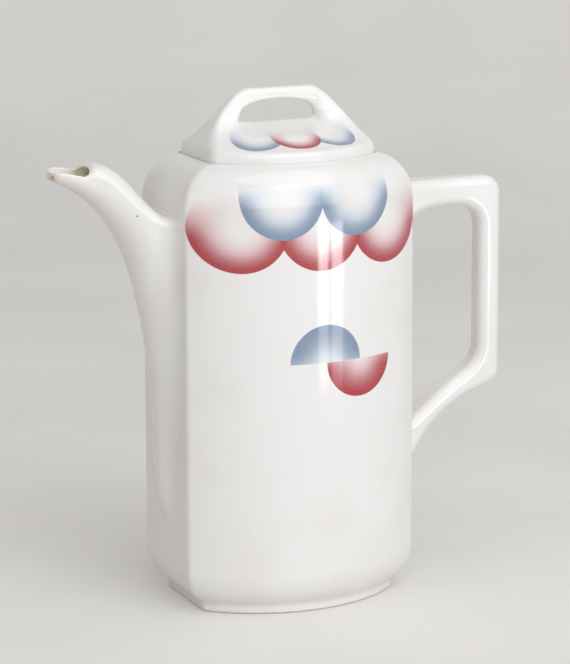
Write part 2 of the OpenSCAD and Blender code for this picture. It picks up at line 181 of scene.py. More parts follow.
# ---------------------------------------------------------------------------
# Pieces swept round the pot's plan: a Geometry Nodes tree turns a list of stations into a wall
# ---------------------------------------------------------------------------
def sweep_tree():
    """Stations carry a share of the plan and a height. Each becomes a ring of the plan's outline."""
    tree, t, given, out = new_group("sweep_round_the_plan", "GeometryNodeTree", [
        ("Geometry", "NodeSocketGeometry", None),
        ("Half Length", "NodeSocketFloat", half_length * MM),
        ("Half Panel", "NodeSocketFloat", half_panel * MM),
        ("Bow", "NodeSocketFloat", front_bow * MM),
        ("Edge Radius", "NodeSocketFloat", edge_radius * MM),
        ("Steps Round", "NodeSocketInt", 384),
        ("Glaze", "NodeSocketMaterial", None),
    ], [("Geometry", "NodeSocketGeometry")])
    new, link = tree.nodes.new, tree.links.new
    length, panel, bow, radius = (
        given.outputs[n] for n in ("Half Length", "Half Panel", "Bow", "Edge Radius"))
    bow_points = 65
    edge_steps = 12
    seam = 0.002 * MM

    # the outline: two bows drawn through three points each, joined and rounded at the four edges
    def point(x, y):
        node = new("ShaderNodeCombineXYZ")
        t.plug(x, node.inputs[0])
        t.plug(y, node.inputs[1])
        return node.outputs[0]

    far = t.math("ADD", panel, bow)
    arcs = []
    for sign in (1, -1):
        arc = new("GeometryNodeCurveArc")
        arc.mode = "POINTS"
        arc.inputs["Resolution"].default_value = bow_points
        link(point(t.times(length, sign), t.times(panel, sign)), arc.inputs["Start"])
        link(point(0.0, t.times(far, sign)), arc.inputs["Middle"])
        link(point(t.times(length, -sign), t.times(panel, sign)), arc.inputs["End"])
        mesh = new("GeometryNodeCurveToMesh")
        link(arc.outputs["Curve"], mesh.inputs["Curve"])
        arcs.append(mesh.outputs["Mesh"])
    join = new("GeometryNodeJoinGeometry")
    for bowed in reversed(arcs):
        link(bowed, join.inputs[0])
    points = new("GeometryNodeMeshToPoints")
    link(join.outputs[0], points.inputs["Mesh"])
    curve = new("GeometryNodePointsToCurves")
    link(points.outputs[0], curve.inputs["Points"])
    cyclic = new("GeometryNodeSetSplineCyclic")
    cyclic.inputs["Cyclic"].default_value = True
    link(curve.outputs[0], cyclic.inputs["Geometry"])
    index = new("GeometryNodeInputIndex").outputs[0]
    # the four edges lie at the first and the last point of each bow
    along_bow = t.math("MODULO", t.math("ADD", index, 1), bow_points)
    at_edge = t.math("LESS_THAN", along_bow, 1.5)
    fillet = new("GeometryNodeFilletCurve")
    fillet.mode = "POLY"
    fillet.inputs["Count"].default_value = edge_steps
    fillet.inputs["Limit Radius"].default_value = True
    link(cyclic.outputs[0], fillet.inputs["Curve"])
    link(t.times(at_edge, radius), fillet.inputs["Radius"])

    # a grid: one column round the plan for each step, one row for each station
    stations = new("GeometryNodeAttributeDomainSize")
    link(given.outputs["Geometry"], stations.inputs[0])
    count = stations.outputs["Point Count"]
    steps = given.outputs["Steps Round"]
    grid = new("GeometryNodeMeshGrid")
    grid.inputs["Size X"].default_value = 1.0
    grid.inputs["Size Y"].default_value = 1.0
    link(t.math("ADD", steps, 1), grid.inputs["Vertices X"])
    link(count, grid.inputs["Vertices Y"])
    grid_x, grid_y, _ = t.parts(new("GeometryNodeInputPosition").outputs[0])
    round_share = t.math("ADD", grid_x, 0.5)
    row = t.math("ROUND", t.times(t.math("ADD", grid_y, 0.5), t.math("SUBTRACT", count, 1)))

    sampled = new("GeometryNodeSampleCurve")
    sampled.mode = "FACTOR"
    sampled.use_all_curves = True
    link(fillet.outputs[0], sampled.inputs["Curves"])
    link(t.math("FRACT", round_share), sampled.inputs["Factor"])
    station = new("GeometryNodeSampleIndex")
    station.data_type = "FLOAT_VECTOR"
    link(given.outputs["Geometry"], station.inputs["Geometry"])
    link(new("GeometryNodeInputPosition").outputs[0], station.inputs["Value"])
    link(row, station.inputs["Index"])
    share, _, height = t.parts(station.outputs[0])
    ring = new("ShaderNodeVectorMath")
    ring.operation = "SCALE"
    link(sampled.outputs["Position"], ring.inputs[0])
    link(share, ring.inputs["Scale"])
    raised = new("ShaderNodeVectorMath")
    raised.operation = "ADD"
    link(ring.outputs[0], raised.inputs[0])
    lift = new("ShaderNodeCombineXYZ")
    link(height, lift.inputs[2])
    link(lift.outputs[0], raised.inputs[1])
    moved = new("GeometryNodeSetPosition")
    link(grid.outputs["Mesh"], moved.inputs["Geometry"])
    link(raised.outputs[0], moved.inputs["Position"])
    closed = new("GeometryNodeMergeByDistance")
    closed.inputs["Distance"].default_value = seam
    link(moved.outputs[0], closed.inputs["Geometry"])
    smooth = new("GeometryNodeSetShadeSmooth")
    link(closed.outputs[0], smooth.inputs[0])
    real = new("GeometryNodeRealizeInstances")
    link(smooth.outputs[0], real.inputs[0])
    coated = new("GeometryNodeSetMaterial")
    link(real.outputs[0], coated.inputs["Geometry"])
    link(given.outputs["Glaze"], coated.inputs["Material"])
    link(coated.outputs[0], out.inputs[0])
    return tree


def show(name, data):
    """Puts a mesh, a lamp or a camera in the scene as an object."""
    piece = bpy.data.objects.new(name, data)
    bpy.context.scene.collection.objects.link(piece)
    return piece


def settle(piece):
    """Turns what a piece's modifiers make of it into its own plain mesh."""
    start = piece.data
    result = bpy.data.meshes.new_from_object(piece.evaluated_get(bpy.context.evaluated_depsgraph_get()))
    piece.modifiers.clear()
    piece.data = result
    bpy.data.meshes.remove(start)
    result.name = piece.name


def swept(name, stations, tree, material, steps):
    """A closed piece whose wall runs through the stations [share of the plan, height]."""
    line = bpy.data.meshes.new(name + "_stations")
    line.from_pydata([(share, 0.0, z * MM) for share, z in stations],
                     [(i, i + 1) for i in range(len(stations) - 1)], [])
    piece = show(name, line)
    sweep = piece.modifiers.new("sweep", "NODES")
    sweep.node_group = tree
    sockets = {s.name: s.identifier for s in tree.interface.items_tree if s.in_out == "INPUT"}
    sweep[sockets["Steps Round"]] = steps
    sweep[sockets["Glaze"]] = material
    settle(piece)
    return piece


def pierce(piece, low, high, width, inner, outer):
    """Cuts an upright slot with round ends through the piece's wall, from inner to outer along X."""
    r = width / 2
    half = [(r * math.cos(a), high - r + r * math.sin(a)) for a in np.radians(np.arange(0, 181, 10))]
    edge = half + [(-y, low + high - z) for y, z in half]
    count = len(edge)
    ends = [tuple(range(count)), tuple(range(2 * count - 1, count - 1, -1))]
    sides = [(i, i + count, (i + 1) % count + count, (i + 1) % count) for i in range(count)]
    mesh = bpy.data.meshes.new("slot")
    mesh.from_pydata([(x * MM, y * MM, z * MM) for x in (inner, outer) for y, z in edge], [], ends + sides)
    cutter = show("slot", mesh)
    piece.modifiers.new("cut", "BOOLEAN").object = cutter
    settle(piece)
    bpy.data.objects.remove(cutter)
    bpy.data.meshes.remove(mesh)


# ---------------------------------------------------------------------------
# Pieces carved from a field: a function that is negative inside the clay and positive outside
# ---------------------------------------------------------------------------
def soft_join(a, b, reach):
    """The union of two forms with a fillet."""
    h = np.maximum(reach - np.abs(a - b), 0.0) / reach
    return np.minimum(a, b) - h * h * reach / 4


def soft_meet(a, b, reach):
    """What two forms have in common, with its edge rounded over."""
    return -soft_join(-a, -b, reach)


def table(x, pairs):
    """A smooth curve through [x, value] pairs, held level past both ends."""
    px = np.array([p[0] for p in pairs], float)
    py = np.array([p[1] for p in pairs], float)
    slope = np.gradient(py, px)
    run = np.diff(py) / np.diff(px)
    for i in range(len(px)):
        near = [run[j] for j in (i - 1, i) if 0 <= j < len(run)]
        if min(near) <= 0 <= max(near):
            slope[i] = 0.0
        else:
            slope[i] = np.sign(slope[i]) * min(abs(slope[i]), 3 * min(abs(n) for n in near))
    x = np.clip(x, px[0], px[-1])
    i = np.clip(np.searchsorted(px, x, side="right") - 1, 0, len(px) - 2)
    step = px[i + 1] - px[i]
    t = (x - px[i]) / step
    return ((1 + 2 * t) * (1 - t) ** 2 * py[i] + t * (1 - t) ** 2 * step * slope[i]
            + t * t * (3 - 2 * t) * py[i + 1] + t * t * (t - 1) * step * slope[i + 1])


def bezier(points, count):
    """Points along a chain of cubic curves, each [start, pull, pull, end]."""
    found = []
    for a, b, c, d in points:
        for t in np.arange(count) / count:
            found.append([(1 - t) ** 3 * a[k] + 3 * t * (1 - t) ** 2 * b[k]
                          + 3 * t * t * (1 - t) * c[k] + t ** 3 * d[k] for k in (0, 1)])
    found.append(list(points[-1][3]))
    return np.array(found, float)


def side_distance(x, z, line, past=50.0):
    """Distance from a line in the plane X, Z, positive on its right as it is followed.
    The line runs on past its ends by so many times its last step, or by nothing where it is closed."""
    best = np.full(np.broadcast(x, z).shape, 1e9)
    side = np.ones_like(best)
    last = len(line) - 2
    for i in range(len(line) - 1):
        a, b = line[i], line[i + 1]
        ux, uz = b - a
        size = ux * ux + uz * uz
        t = ((x - a[0]) * ux + (z - a[1]) * uz) / size
        t = np.clip(t, -past if i == 0 else 0.0, 1.0 + past if i == last else 1.0)
        dx, dz = x - a[0] - t * ux, z - a[1] - t * uz
        d = dx * dx + dz * dz
        closer = d < best
        best = np.where(closer, d, best)
        side = np.where(closer, np.where(dx * uz - dz * ux >= 0, 1.0, -1.0), side)
    return side * np.sqrt(best)


def carve(name, field, low, high, step, material, shade=None):
    """The closed skin of a field inside a box, as even four-sided faces set exactly on its surface.
    Its normals come from the field, or from shade, the same form before it was cut off in the wall."""
    low, high = np.array(low, float), np.array(high, float)
    counts = np.ceil((high - low) / step).astype(int) + 1
    x, y, z = (low[i] + step * np.arange(counts[i]) for i in range(3))
    value = np.broadcast_to(
        field(x[:, None, None], y[None, :, None], z[None, None, :]), counts).astype(np.float64)
    inside = value < 0
    cells = tuple(counts - 1)
    total = np.zeros(cells + (3,))
    hits = np.zeros(cells, int)
    crossings = []
    for axis in range(3):
        here = [slice(None)] * 3
        there = [slice(None)] * 3
        here[axis], there[axis] = slice(0, -1), slice(1, None)
        a, b = value[tuple(here)], value[tuple(there)]
        crossed = inside[tuple(here)] != inside[tuple(there)]
        i, j, k = np.nonzero(crossed)
        share = a[i, j, k] / (a[i, j, k] - b[i, j, k])
        spot = np.stack([i, j, k], 1).astype(float)
        spot[:, axis] += share
        others = [d for d in range(3) if d != axis]
        around = []
        for du, dv in ((0, 0), (1, 0), (1, 1), (0, 1)):
            cell = np.stack([i, j, k], 1)
            cell[:, others[0]] -= du
            cell[:, others[1]] -= dv
            around.append(cell)
            whole = np.all((cell >= 0) & (cell < np.array(cells)), axis=1)
            c = cell[whole]
            np.add.at(total, (c[:, 0], c[:, 1], c[:, 2]), spot[whole])
            np.add.at(hits, (c[:, 0], c[:, 1], c[:, 2]), 1)
        crossings.append((around, inside[tuple(here)][i, j, k], axis))
    number = np.full(cells, -1)
    used = np.nonzero(hits)
    number[used] = np.arange(len(used[0]))
    points = low + step * total[used] / hits[used][:, None]

    quads = []
    for around, solid_first, axis in crossings:
        corners = np.stack([number[c[:, 0], c[:, 1], c[:, 2]] for c in around], 1)
        turn = ~solid_first if axis != 1 else solid_first
        quads.append(np.where(turn[:, None], corners[:, ::-1], corners))
    quads = np.concatenate(quads)

    def steepness(f, p, nudge):
        """How fast a field rises along X, Y and Z at each point."""
        rises = []
        for d in range(3):
            aside = np.zeros(3)
            aside[d] = nudge
            ahead, behind = (p + aside).T, (p - aside).T
            rises.append(f(*ahead) - f(*behind))
        return np.stack(rises, 1) / (2 * nudge)

    # a few steps down the field's slope set the points on its surface
    for _ in range(3):
        v = field(*points.T)
        g = steepness(field, points, 0.02)
        shift = -(v / np.maximum((g * g).sum(1), 0.05))[:, None] * g
        size = np.linalg.norm(shift, axis=1, keepdims=True)
        points = points + shift * np.minimum(1.0, 0.4 * step / np.maximum(size, 1e-9))

    mesh = bpy.data.meshes.new(name)
    mesh.from_pydata((points * MM).tolist(), [], quads.tolist())
    mesh.shade_smooth()
    normals = steepness(shade or field, points, 0.05)
    normals /= np.maximum(np.linalg.norm(normals, axis=1, keepdims=True), 1e-9)
    mesh.normals_split_custom_set_from_vertices(normals.tolist())
    mesh.materials.append(material)
    return show(name, mesh)


def bowed_sides(x, y, length, panel, bow):
    """Distance from a front and a back that bow out between the panels."""
    radius = (length * length + bow * bow) / (2 * bow)
    return np.hypot(x, np.abs(y) - (panel + bow - radius)) - radius


def plan_field(x, y, share, soft):
    """Distance from a share of the plan's outline: flat side panels and bowed front and back."""
    length = half_length * share
    sides = bowed_sides(x, y, length, half_panel * share, front_bow * share)
    return soft_meet(np.abs(x) - length, sides, soft)


# ---------------------------------------------------------------------------
# Glazes and paints
# ---------------------------------------------------------------------------
def srgb(r, g, b):
    """A paint chip's 0 to 255 values as a linear colour."""
    def one(v):
        v /= 255.0
        return v / 12.92 if v <= 0.04045 else ((v + 0.055) / 1.055) ** 2.4
    return (one(r), one(g), one(b), 1.0)


def glaze_skin_group():
    """Colour, gloss and small waviness of a fired white glaze, with cloudy pooling and iron specks."""
    tree, t, given, out = new_group("glaze_skin", "ShaderNodeTree", [
        ("Place", "NodeSocketVector", None),
        ("White", "NodeSocketColor", srgb(245, 244, 243)),
        ("Pooled", "NodeSocketColor", srgb(237, 234, 230)),
        ("Speck", "NodeSocketColor", srgb(120, 96, 76)),
    ], [("Color", "NodeSocketColor"), ("Roughness", "NodeSocketFloat"), ("Height", "NodeSocketFloat")])
    place = given.outputs["Place"]
    cloud = t.noise(place, 38.0, 3.0)
    drift = t.noise(place, 9.0, 2.0)
    pooled = t.ramp(t.math("ADD", t.times(cloud, 0.5), t.times(drift, 0.5)), 0.42, 0.68)
    color = t.blend(t.times(pooled, 0.55), given.outputs["White"], given.outputs["Pooled"])
    # specks: the hearts of a few scattered cells
    cells = tree.nodes.new("ShaderNodeTexVoronoi")
    t.plug(place, cells.inputs["Vector"])
    cells.inputs["Scale"].default_value = 95.0
    chosen = tree.nodes.new("ShaderNodeSeparateColor")
    t.plug(cells.outputs["Color"], chosen.inputs[0])
    rare = t.math("GREATER_THAN", chosen.outputs[0], 0.955)
    size = t.ramp(chosen.outputs[1], 0.0, 1.0, 0.02, 0.055, False)
    heart = t.times(t.ramp(t.math("DIVIDE", cells.outputs["Distance"], size), 0.5, 1.2, 1.0, 0.0), rare)
    strength = t.ramp(chosen.outputs[2], 0.0, 1.0, 0.1, 0.6, False)
    color = t.blend(t.times(heart, strength), color, given.outputs["Speck"])
    t.plug(color, out.inputs["Color"])
    smear = t.noise(place, 60.0, 4.0, 0.6)
    t.plug(t.ramp(smear, 0.3, 0.75, 0.075, 0.15), out.inputs["Roughness"])
    long_wave = t.noise(place, 26.0, 1.0)
    fine_wave = t.times(t.noise(place, 420.0, 2.0), 0.035)
    pits = t.times(heart, -0.05)
    t.plug(t.math("ADD", t.math("ADD", long_wave, fine_wave), pits), out.inputs["Height"])
    return tree


def airbrush_group():
    """A mask for one sprayed disc: crisp along one side of its rim, fading out across it in a fine spray."""
    tree, t, given, out = new_group("airbrushed_disc", "ShaderNodeTree", [
        ("Across", "NodeSocketFloat", 0.0),
        ("Up", "NodeSocketFloat", 0.0),
        ("Centre Across", "NodeSocketFloat", 0.0),
        ("Centre Up", "NodeSocketFloat", 0.1),
        ("Radius", "NodeSocketFloat", 0.03),
        ("Fade", "NodeSocketFloat", 0.02),
        ("Tilt", "NodeSocketFloat", 0.0),
        ("Cut", "NodeSocketFloat", -1.0),
        ("Grain", "NodeSocketFloat", 0.5),
    ], [("Mask", "NodeSocketFloat"), ("Whole", "NodeSocketFloat")])
    g = given.outputs
    crisp = 0.0002
    dx = t.math("SUBTRACT", g["Across"], g["Centre Across"])
    dz = t.math("SUBTRACT", g["Up"], g["Centre Up"])
    depth = t.math("SUBTRACT", g["Radius"], t.hypot(dx, dz))
    rim = t.ramp(depth, -crisp, crisp)
    # the tilt turns the crisp side round from straight down
    sine, cosine = t.math("SINE", g["Tilt"]), t.math("COSINE", g["Tilt"])
    along = t.math("SUBTRACT", t.times(dx, sine), t.times(dz, cosine))
    cut = t.ramp(t.math("SUBTRACT", along, g["Cut"]), -crisp, crisp)
    side = t.ramp(t.math("DIVIDE", along, g["Radius"]), -0.75, 0.35)
    thick = t.ramp(t.math("DIVIDE", depth, g["Fade"]), 0.02, 1.0, 1.0, 0.0)
    spray = t.math("POWER", thick, 1.25)
    grain = t.times(t.math("SUBTRACT", g["Grain"], 0.5), t.times(spray, 0.22))
    soft = t.times(t.math("ADD", spray, grain), side)
    t.plug(t.math("MULTIPLY", t.times(rim, cut), soft, clamp=True), out.inputs["Mask"])
    # what lies under the disc starts a little inside its rim, so that no pale line shows round it
    t.plug(t.times(t.ramp(depth, crisp, 0.0005), cut), out.inputs["Whole"])
    return tree


glaze_skin = glaze_skin_group()
airbrushed_disc = airbrush_group()


def glazed(name, paint=None, bare=None):
    """A glossy glazed ceramic material. paint adds the sprayed decoration, bare an unglazed patch, and on the
    spout also painted shade inside the mouth.
    """
    material = bpy.data.materials.new(name)
    material.use_nodes = True
    tree = material.node_tree
    t = Tree(tree)
    shader = tree.nodes["Principled BSDF"]
    place = tree.nodes.new("ShaderNodeTexCoord").outputs["Object"]
    skin = tree.nodes.new("ShaderNodeGroup")
    skin.node_tree = glaze_skin
    t.plug(place, skin.inputs["Place"])
    color, roughness, height = (skin.outputs[n] for n in ("Color", "Roughness", "Height"))
    if paint:
        color = paint(t, place, color)
    if bare:
        color, roughness = bare(t, place, color, roughness)
    bump = tree.nodes.new("ShaderNodeBump")
    bump.inputs["Strength"].default_value = 0.10
    bump.inputs["Distance"].default_value = 0.0006
    t.plug(height, bump.inputs["Height"])
    t.plug(color, shader.inputs["Base Color"])
    t.plug(roughness, shader.inputs["Roughness"])
    t.plug(bump.outputs[0], shader.inputs["Normal"])
    shader.inputs["IOR"].default_value = 1.5
    shader.inputs["Coat Weight"].default_value = 0.35
    shader.inputs["Coat Roughness"].default_value = 0.04
    material.diffuse_color = srgb(240, 238, 235)
    return material


BLUE = srgb(160, 190, 222)
SLATE = srgb(122, 146, 176)
RED = srgb(178, 38, 56)
PINK = srgb(226, 120, 138)


def spray_discs(t, across, up, place, outside, color, discs):
    """Lays sprayed discs over a colour. Each is [across, up, radius, fade, tilt, cut, deep, light, strength]
    and hides what lies under it."""
    grain = t.noise(place, 2400.0, 1.0)
    bare = color
    for cx, cz, radius, fade, tilt, cut, deep, light, strength in discs:
        group = t.tree.nodes.new("ShaderNodeGroup")
        group.node_tree = airbrushed_disc
        settings = {"Across": across, "Up": up, "Centre Across": cx * MM, "Centre Up": cz * MM,
                    "Radius": radius * MM, "Fade": fade * MM, "Tilt": math.radians(tilt), "Cut": cut * MM,
                    "Grain": grain}
        for label, value in settings.items():
            t.plug(value, group.inputs[label])
        mask = t.times(group.outputs["Mask"], outside)
        color = t.blend(group.outputs["Whole"], color, bare)
        tint = t.blend(t.ramp(mask, 0.2, 0.9), light, deep)
        color = t.blend(t.math("MULTIPLY", mask, strength, clamp=True), color, tint)
    return color


def facing(t, place):
    """The place's X, Y and Z, which side of the pot it is on, and the way its surface faces."""
    x, y, z = t.parts(place)
    normal = t.parts(t.tree.nodes.new("ShaderNodeNewGeometry").outputs["Normal"])
    return x, y, z, t.math("SIGN", y), normal


NO_CUT = -1000.0


def pot_paint(t, place, color):
    """Two rows of scales under the shoulder and a pair of half discs on the wall, front and back."""
    x, _, z, side, normal = facing(t, place)
    across = t.times(x, side, -1.0)
    outside = t.times(t.ramp(t.times(normal[1], side), 0.30, 0.45), t.ramp(z, 0.184, 0.1925, 1.0, 0.0))
    scales = [(i * 34.0, 171.5, 19.5, 18.0, 0.0, NO_CUT, RED, PINK, 0.97) for i in (-1, 1, 0)]
    scales += [(i * 17.0, 183.5, 17.5, 15.0, 0.0, NO_CUT, SLATE, BLUE, 0.95) for i in (-1, 1)]
    pair = [(2.0, 112.0, 16.5, 27.0, 180.0, 0.0, SLATE, BLUE, 0.95),
            (18.5, 112.0, 16.5, 25.0, 0.0, 0.0, RED, PINK, 0.98)]
    return spray_discs(t, across, z, place, outside, color, scales + pair)


def lid_paint(t, place, color):
    """A few smaller scales on the sloping front and back of the lid."""
    x, y, _, side, normal = facing(t, place)
    across = t.times(x, side, -1.0)
    towards_grip = t.times(t.math("ABSOLUTE", y), -1.0)
    outside = t.ramp(normal[2], 0.30, 0.45)
    scales = [(i * 17.0, -16.0, 11.5, 9.0, 0.0, NO_CUT, SLATE, BLUE, 0.92) for i in (-1, 1)]
    scales += [(0.0, -19.0, 11.0, 9.0, 0.0, NO_CUT, RED, PINK, 0.97)]
    return spray_discs(t, across, towards_grip, place, outside, color, scales)


def spout_wear_and_painted_shade(t, place, color, roughness):
    """A rubbed patch on the lip, where the glaze has worn through to the stained clay, one dark speck, and a
    tan painted shade on the walls inside the mouth.
    """
    from_lip = t.tree.nodes.new("ShaderNodeVectorMath")
    from_lip.operation = "DISTANCE"
    t.plug(place, from_lip.inputs[0])
    from_lip.inputs[1].default_value = (-0.1048, -0.0030, 0.1928)
    ragged = t.math("ADD", from_lip.outputs["Value"], t.times(t.noise(place, 520.0, 3.0), 0.002))
    worn = t.ramp(ragged, 0.0013, 0.0021, 0.8, 0.0)
    stained = t.ramp(ragged, 0.0016, 0.0056, 0.6, 0.0)
    color = t.blend(stained, color, srgb(214, 184, 144))
    color = t.blend(worn, color, srgb(146, 106, 62))
    x, y, z, side, normal = facing(t, place)
    # one dark speck in the glaze, on the side towards the front
    away = t.hypot(t.math("SUBTRACT", x, -0.0704), t.math("SUBTRACT", z, 0.1753))
    speck = t.times(t.ramp(away, 0.00025, 0.0006, 0.7, 0.0), t.math("LESS_THAN", y, 0.0))
    color = t.blend(speck, color, srgb(96, 90, 88))
    # painted shade: a tan tint on the walls and the ceiling inside the mouth, where they lie in shade
    inner = t.ramp(t.times(normal[1], side), -0.35, -0.05, 1.0, 0.0)
    ceiling = t.times(t.ramp(normal[2], -0.35, -0.05, 1.0, 0.0), t.ramp(z, 0.1945, 0.1960))
    mouth = t.times(t.math("MAXIMUM", inner, ceiling), t.ramp(x, -0.0960, -0.0905))
    color = t.blend(t.times(mouth, 0.5), color, srgb(226, 210, 172))
    return color, t.math("ADD", roughness, t.times(worn, 0.5))


def bare_foot(t, place, color, roughness):
    """The foot's lower edge is left unglazed."""
    line = t.math("ADD", t.parts(place)[2], t.times(t.noise(place, 260.0, 2.0), 0.0006))
    bare = t.ramp(line, 0.0009, 0.0013, 1.0, 0.0)
    sandy = t.blend(t.ramp(t.noise(place, 1800.0, 3.0), 0.35, 0.7), srgb(226, 217, 204), srgb(203, 190, 172))
    return t.blend(bare, color, sandy), t.math("ADD", roughness, t.times(bare, 0.55))


white_glaze = glazed("white_glaze")
painted_pot_glaze = glazed("painted_pot_glaze", paint=pot_paint)
painted_lid_glaze = glazed("painted_lid_glaze", paint=lid_paint)
# the spout's material carries its real wear and also painted shade inside the mouth
worn_spout_glaze_with_painted_shade = glazed("worn_spout_glaze_with_painted_shade", bare=spout_wear_and_painted_shade)
foot_glaze = glazed("foot_glaze", bare=bare_foot)


# ---------------------------------------------------------------------------
# Pot wall, foot ring and collar
# ---------------------------------------------------------------------------
lower_stop = math.acos((foot_share - lower_end) / (1 - lower_end))
shoulder_stop = math.acos(((opening_share - shoulder_end) / (1 - shoulder_end)) ** (shoulder_power / 2))


def lower_curve(count):
    """From the foot up to the straight wall."""
    for i in range(count, -1, -1):
        a = lower_stop * i / count
        yield (lower_end + (1 - lower_end) * math.cos(a),
               foot_height + lower_fall * (math.sin(lower_stop) - math.sin(a)))


def shoulder_curve(count):
    """From the straight wall up to just short of the opening."""
    for i in range(count):
        a = shoulder_stop * i / count
        yield (shoulder_end + (1 - shoulder_end) * math.cos(a) ** (2 / shoulder_power),
               wall_top + shoulder_rise * math.sin(a) ** (2 / shoulder_power))


def rounded(points, radius, steps=5):
    """Rounds the corners of a profile. Shares are taken as lengths at a mean size of the plan."""
    out = [points[0]]
    for before, at, after in zip(points, points[1:], points[2:]):
        p, q, r = (np.array([s * mean_reach, z]) for s, z in (before, at, after))
        a, b = p - q, r - q
        la, lb = np.linalg.norm(a), np.linalg.norm(b)
        cut = min(radius, la * 0.45, lb * 0.45)
        for i in range(steps + 1):
            u = i / steps
            s = (1 - u) ** 2 * (q + a / la * cut) + 2 * u * (1 - u) * q + u * u * (q + b / lb * cut)
            out.append((s[0] / mean_reach, s[1]))
    out.append(points[-1])
    return out


# profiles are lists of [share of the plan, height]
rim_and_ledge = rounded([
    (opening_share + 0.004, shoulder_top - 0.08), (opening_share, shoulder_top),
    (opening_share - 0.0005, seat_floor), (0.642, seat_floor), (0.641, 188.7), (0.70, 188.1), (0.83, 187.4),
    (0.905, 181.0)], 0.9)[1:-1]
# under the floor, up the outside, over the rim and the ledge, and down the inside to the floor
wall_stations = (
    [(0.0, 5.6), (0.25, 5.5), (0.5, 5.2), (0.68, 4.8), (0.76, 4.5), (0.835, 4.3)]
    + list(lower_curve(26))
    + [(1.0, straight_bottom + (wall_top - straight_bottom) * i / 26) for i in range(1, 26)]
    + list(shoulder_curve(40))
    + rim_and_ledge
    + [(0.918, 174.0), (0.921, 165.0), (0.921, 120.0), (0.921, 70.0), (0.921, 26.0), (0.915, 20.5),
       (0.897, 15.6), (0.86, 12.0), (0.80, 9.8), (0.72, 8.8), (0.5, 8.6), (0.25, 8.55), (0.0, 8.5)])

ring_out = foot_share - 0.0005
ring_in = foot_share - foot_width / mean_reach
foot_stations = rounded([
    (ring_in, 4.4), (ring_in, 0.0), (ring_out, 0.0), (ring_out, 3.6), (ring_out + 0.026, 5.35),
    (ring_out - 0.006, 5.2), (ring_out - 0.03, 4.9), (ring_in, 4.4)], 1.1)

collar_out, collar_in = 0.622, 0.556
collar_low, collar_high = lid_base - collar_depth, lid_base + collar_tuck
collar_stations = rounded([(collar_in, collar_high), (collar_in, collar_low), (collar_out, collar_low),
                           (collar_out, collar_high), (collar_in, collar_high)], 1.2)

sweep = sweep_tree()
pot_wall = swept("pot_wall", wall_stations, sweep, painted_pot_glaze, steps=448)
pierce(pot_wall, inlet_low, inlet_high, inlet_width, inner=-46.0, outer=-58.0)
foot = swept("foot", foot_stations, sweep, foot_glaze, steps=320)
collar = swept("collar", collar_stations, sweep, white_glaze, steps=320)


def shoulder_share(z):
    """Share of the plan that the outside takes at a height on the wall or the shoulder."""
    up = np.clip((z - wall_top) / shoulder_rise, 0.0, 0.9999)
    return shoulder_end + (1 - shoulder_end) * (1 - up ** shoulder_power) ** (1 / shoulder_power)


# ---------------------------------------------------------------------------
# Spout
# ---------------------------------------------------------------------------
# the spout's underside, its back and the cut of its mouth, in X and Z
keel_line = bezier([[(-50.0, 38.5), (-62.2, 43.0), (-54.6, 74.0), (-61.35, 110.0)],
                    [(-61.35, 110.0), (-67.8, 152.7), (-75.9, 178.4), (-104.2, 190.6)],
                    [(-104.2, 190.6), (-106.2, 191.4), (-106.1, 194.4), (-106.0, 203.0)]], 24)
ridge_line = bezier([[(-112.0, 213.0), (-104.0, 208.0), (-97.0, 199.0), (-89.4, 197.6)],
                     [(-89.4, 197.6), (-73.2, 200.0), (-63.6, 175.2), (-53.75, 172.4)],
                     [(-53.75, 172.4), (-50.0, 171.3), (-47.0, 168.5), (-44.0, 167.0)]], 24)
mouth_line = np.stack([table(np.linspace(0, 10, 61), list(enumerate(values))) for values in (
    (-114.0, -108.5, -105.5, -102.5, -98.5, -95.0, -92.3, -90.4, -88.8, -86.9, -85.6),
    (194.2, 194.6, 195.0, 195.4, 195.0, 194.3, 193.9, 194.2, 195.7, 198.2, 204.0))], 1)



def spout_tube(x, y, z, keel, ridge):
    """The spout's own form, without its fillets: an oval that widens with height and narrows with reach."""
    out = -x
    # its half width, and how deep its rounding is along the keel and along the back
    low = table(z, [(30, 2.6), (44, 3.2), (60, 4.6), (75, 5.8), (86, 6.8), (109, 9.4), (130, 11.6),
                    (150, 13.4), (165, 14.6)])
    half = low * table(out, [(53.75, 1.18), (58, 1.09), (62, 1.0), (66, 0.94), (75, 0.81), (82, 0.70),
                             (88.3, 0.61), (93, 0.55), (97.5, 0.48), (102, 0.40), (106, 0.33)])
    nose = low * table(out, [(58, 0.86), (66, 0.82), (74, 0.71), (80, 0.60), (88.3, 0.46), (97, 0.36),
                             (106, 0.31)])
    back = table(out, [(50, 3.5), (60, 4.6), (68, 7.0), (80, 7.2), (88.3, 5.8), (100, 5.0)])
    lower = np.maximum(1 - keel / nose, 0.0)
    upper = np.maximum(1 - ridge / back, 0.0)
    rho = np.sqrt((y / half) ** 2 + lower ** 2 + upper ** 2)
    slope = np.sqrt((y / half ** 2) ** 2 + (lower / nose) ** 2 + (upper / back) ** 2)
    return (rho - 1) * (rho + 1e-4) / (slope + 1e-4 / half)


